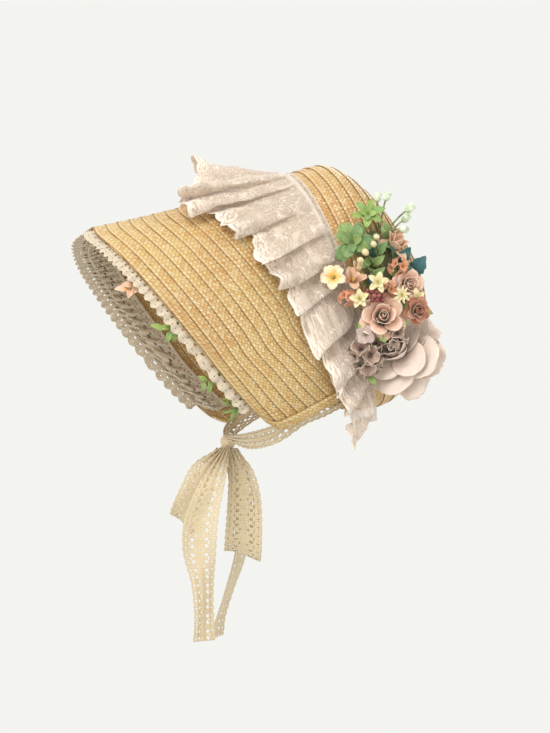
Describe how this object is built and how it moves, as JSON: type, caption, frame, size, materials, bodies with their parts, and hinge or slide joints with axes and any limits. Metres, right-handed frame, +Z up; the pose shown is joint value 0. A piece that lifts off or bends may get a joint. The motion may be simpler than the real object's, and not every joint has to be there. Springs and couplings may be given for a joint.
{
  "type": "sun hat",
  "caption": "Straw poke bonnet with a deep arched brim, gathered lace ruffle, flower spray on one side and lace ties in a bow under the chin.",
  "frame": {"origin": "middle of the head opening, where the crown meets the brim and the hat sits on the head", "axes": "+Z up, -Y the way the wearer faces, +X the wearer's left, where the flower spray sits"},
  "size_m": [0.2554, 0.3481, 0.4782],
  "materials": {
    "straw": "plaited natural straw",
    "straw_braid": "plaited natural straw",
    "organza_lace": "sheer embroidered lace",
    "cotton_lace": "cotton crochet lace",
    "ecru_lace": "cotton bobbin lace",
    "stem_green": "matte",
    "mauve_pink_petal": "matte cloth petal",
    "deep_mauve_petal": "matte cloth petal",
    "beige_pink_petal": "matte cloth petal",
    "rust_petal": "matte cloth petal",
    "mauve_brown_petal": "matte cloth petal",
    "plum_berry": "satin",
    "cream_blossom": "matte",
    "coral_blossom": "matte",
    "peach_petal": "matte cloth petal",
    "light_leaf": "satin",
    "green_leaf": "satin",
    "teal_leaf": "satin",
    "pale_bud": "satin",
    "cream_bud": "satin"
  },
  "bodies": {
    "root": {"brim": "straw", "crown": "straw", "neck_braid_left": "straw_braid", "neck_braid_right": "straw_braid", "ruffle_band": "organza_lace", "lace_ruffle": "organza_lace", "brim_frill": "cotton_lace", "tie_left": "ecru_lace", "tie_right": "ecru_lace", "bow_knot": "ecru_lace", "bow_loop_front": "ecru_lace", "bow_loop_back": "ecru_lace", "tie_tail_front": "ecru_lace", "tie_tail_back": "ecru_lace", "spray_base": "stem_green", "peony_outer": "mauve_pink_petal", "peony_middle": "mauve_pink_petal", "peony_inner": "deep_mauve_petal", "peony_heart": "deep_mauve_petal", "rose_small": "beige_pink_petal", "rose_back": "beige_pink_petal", "rust_rose": "rust_petal", "hydrangea_low": "mauve_brown_petal", "hydrangea_high": "mauve_brown_petal", "mauve_petal": "mauve_pink_petal", "berries": "plum_berry", "star_blossom_1": "cream_blossom", "star_blossom_2": "cream_blossom", "star_blossom_3": "cream_blossom", "star_blossom_4": "cream_blossom", "coral_blossom_1": "coral_blossom", "coral_blossom_2": "coral_blossom", "coral_blossom_3": "coral_blossom", "plumeria": "peach_petal", "peach_blossom": "peach_petal", "peach_bud": "peach_petal", "tulip": "peach_petal", "leaf_rosette_light": "light_leaf", "leaf_rosette_dark": "green_leaf", "leaf_green": "green_leaf", "leaf_teal": "teal_leaf", "ivy_leaf": "teal_leaf", "cup_bud_1": "pale_bud", "cup_bud_2": "pale_bud", "cup_bud_3": "pale_bud", "cup_bud_4": "pale_bud", "cup_bud_5": "pale_bud", "cream_bud_1": "cream_bud", "cream_bud_2": "cream_bud", "cream_bud_3": "cream_bud", "cream_bud_4": "cream_bud", "sprig_high": "peach_petal", "sprig_middle": "light_leaf", "sprig_low": "light_leaf"}
  },
  "joints": []
}
